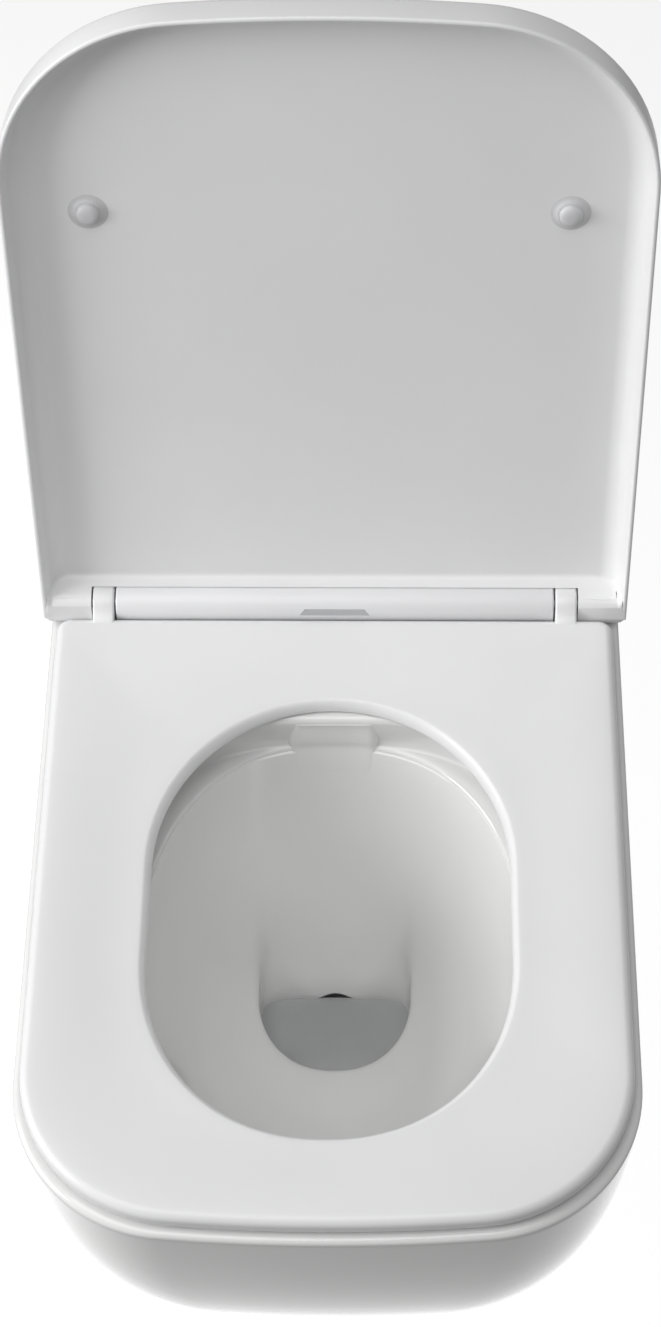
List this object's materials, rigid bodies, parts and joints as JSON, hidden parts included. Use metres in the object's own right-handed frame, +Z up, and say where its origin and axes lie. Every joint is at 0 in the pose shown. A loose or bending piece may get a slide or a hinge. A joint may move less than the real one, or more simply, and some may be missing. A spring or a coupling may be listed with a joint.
{
  "type": "wall hung toilet",
  "caption": "Wall hung rimless toilet pan with a soft-close seat, a wrap-over lid and a quick-release hinge bar.",
  "frame": {"origin": "on the wall plane, midway between the two wall stud holes", "axes": "+Z up, +Y into the wall, -Y to the front of the pan, +X to the right of someone facing the pan's front"},
  "size_m": [0.367, 0.5396, 0.7744],
  "materials": {
    "glazed_ceramic": "glossy white glaze",
    "duroplast": "satin gloss white",
    "hinge_plastic": "satin white",
    "button_grey": "satin light grey",
    "soft_white": "soft matte white",
    "damper_grey": "matte grey",
    "steel": "brushed",
    "black_rubber": "matte",
    "brass": "turned",
    "sleeve_grey": "matte grey",
    "cap_white": "gloss white"
  },
  "bodies": {
    "pan_body": {"pan": "glazed_ceramic", "flush_distributor": "glazed_ceramic", "fixing_sleeve_left": "sleeve_grey", "fixing_sleeve_right": "sleeve_grey", "clamp_screws": "steel", "hinge_base_plates": "steel", "hinge_posts": "steel", "hinge_bolts": "steel", "expansion_sleeves": "black_rubber", "expansion_nuts": "brass", "hinge_bar_base": "hinge_plastic", "hinge_bar_cover": "hinge_plastic", "damper_left": "damper_grey", "damper_right": "damper_grey", "latch_springs": "steel", "button_spring": "steel"},
    "lid": {"lid": "duroplast", "lid_bumpers": "soft_white", "hinge_pin_left": "steel", "damper_rotor_left": "damper_grey", "lid_bush_right": "soft_white"},
    "seat": {"seat": "duroplast", "seat_buffers": "soft_white", "hinge_pin_right": "steel", "damper_rotor_right": "damper_grey", "seat_bush_left": "soft_white"},
    "button": {"release_button": "button_grey"},
    "latch_left": {"latch_left": "steel"},
    "latch_right": {"latch_right": "steel"},
    "cap_left": {"cap_left": "cap_white"},
    "cap_right": {"cap_right": "cap_white"}
  },
  "joints": [
    {"name": "lid_hinge", "type": "hinge", "parent": "pan_body", "child": "lid", "pos_m": [0, -0.1118, 0.1006], "axis": [-1, 0, 0], "range_deg": [-101, 0]},
    {"name": "seat_hinge", "type": "hinge", "parent": "pan_body", "child": "seat", "pos_m": [0, -0.1118, 0.1006], "axis": [-1, 0, 0], "range_deg": [0, 100]},
    {"name": "release_button", "type": "slide", "parent": "pan_body", "child": "button", "axis": [0, 1, 0], "range_m": [0, 0.003], "stiffness_N_per_m": 500, "springref_m": -0.003},
    {"name": "latch_left_slide", "type": "slide", "parent": "pan_body", "child": "latch_left", "axis": [-1, 0, 0], "range_m": [0, 0.003]},
    {"name": "latch_right_slide", "type": "slide", "parent": "pan_body", "child": "latch_right", "axis": [1, 0, 0], "range_m": [0, 0.003]},
    {"name": "cap_left_pull", "type": "slide", "parent": "pan_body", "child": "cap_left", "axis": [-1, 0, 0], "range_m": [0, 0.025]},
    {"name": "cap_right_pull", "type": "slide", "parent": "pan_body", "child": "cap_right", "axis": [1, 0, 0], "range_m": [0, 0.025]}
  ],
  "couplings": [
    {"joint": "latch_left_slide", "follows": "release_button", "ratio": 1},
    {"joint": "latch_right_slide", "follows": "release_button", "ratio": 1}
  ]
}
